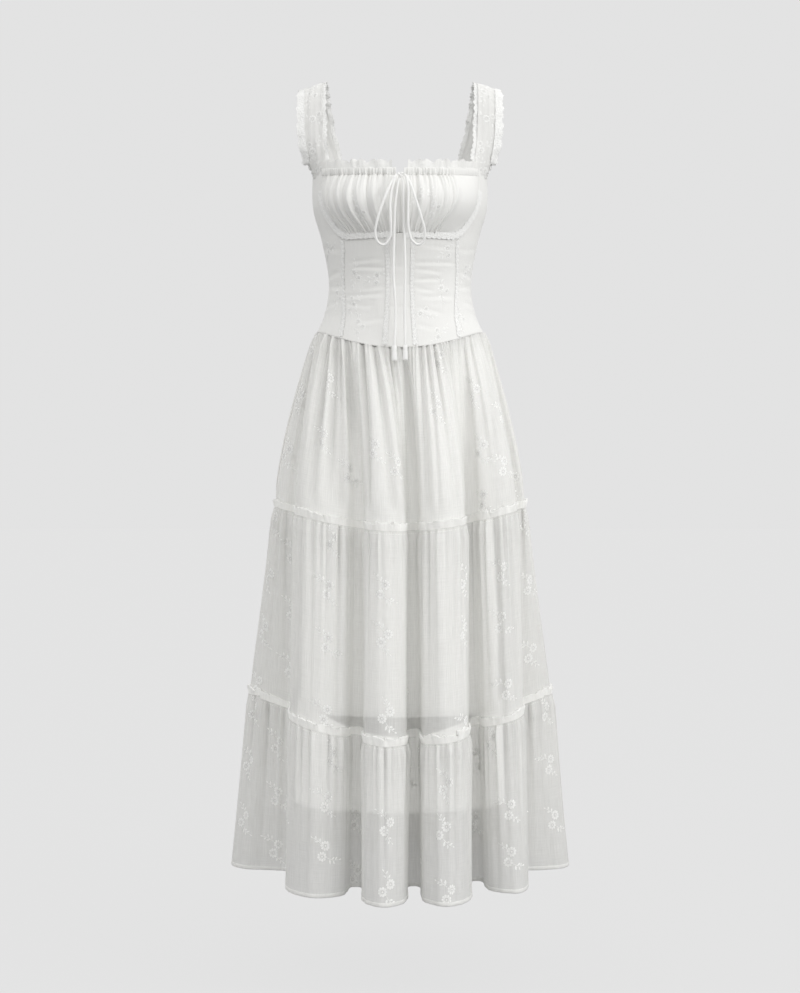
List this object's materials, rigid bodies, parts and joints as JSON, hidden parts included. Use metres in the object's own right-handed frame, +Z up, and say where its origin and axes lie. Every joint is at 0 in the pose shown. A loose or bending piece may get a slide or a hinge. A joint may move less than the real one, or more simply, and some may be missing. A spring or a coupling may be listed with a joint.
{
  "type": "maxi dress",
  "caption": "Sheer white embroidered tiered maxi dress with wide lace-edged straps, gathered drawstring bust, fitted bodice and long gathered skirt, in its open worn shape.",
  "frame": {"origin": "midway between the two shoulder straps, at the height where they rest on the shoulders", "axes": "+Z up along the dress, -Y out of its front, +X to the right seen from the front"},
  "size_m": [0.546, 0.544, 1.2613],
  "materials": {
    "cotton": "sheer white cotton with raised white embroidery",
    "lining": "plain fine white cotton",
    "lace": "white cotton lace edging",
    "cord": "narrow white fabric cord"
  },
  "bodies": {
    "root": {"front_left": "cotton", "front_right": "cotton", "side_left": "cotton", "side_right": "cotton", "cup_left": "cotton", "cup_right": "cotton", "casing_left": "cotton", "casing_right": "cotton", "neck_frill_left": "cotton", "neck_frill_right": "cotton", "strap_left": "cotton", "strap_right": "cotton", "placket": "cotton", "back": "cotton", "top_tier_front": "cotton", "top_tier_back": "cotton", "middle_tier_front": "cotton", "middle_tier_back": "cotton", "hem_tier_front": "cotton", "hem_tier_back": "cotton", "upper_heading_front": "cotton", "upper_heading_back": "cotton", "lower_heading_front": "cotton", "lower_heading_back": "cotton", "slip_front": "lining", "slip_back": "lining", "underlay_front": "lining", "underlay_back": "lining", "princess_lace_left": "lace", "princess_lace_right": "lace", "placket_lace_left": "lace", "placket_lace_right": "lace", "underbust_lace_left": "lace", "underbust_lace_right": "lace", "strap_outer_lace_left": "lace", "strap_outer_lace_right": "lace", "strap_inner_lace_left": "lace", "strap_inner_lace_right": "lace", "cord_knot": "cord", "cord_loop_left": "cord", "cord_loop_right": "cord", "cord_tail_left": "cord", "cord_tail_right": "cord", "cord_tip_left": "cord", "cord_tip_right": "cord"}
  },
  "joints": []
}
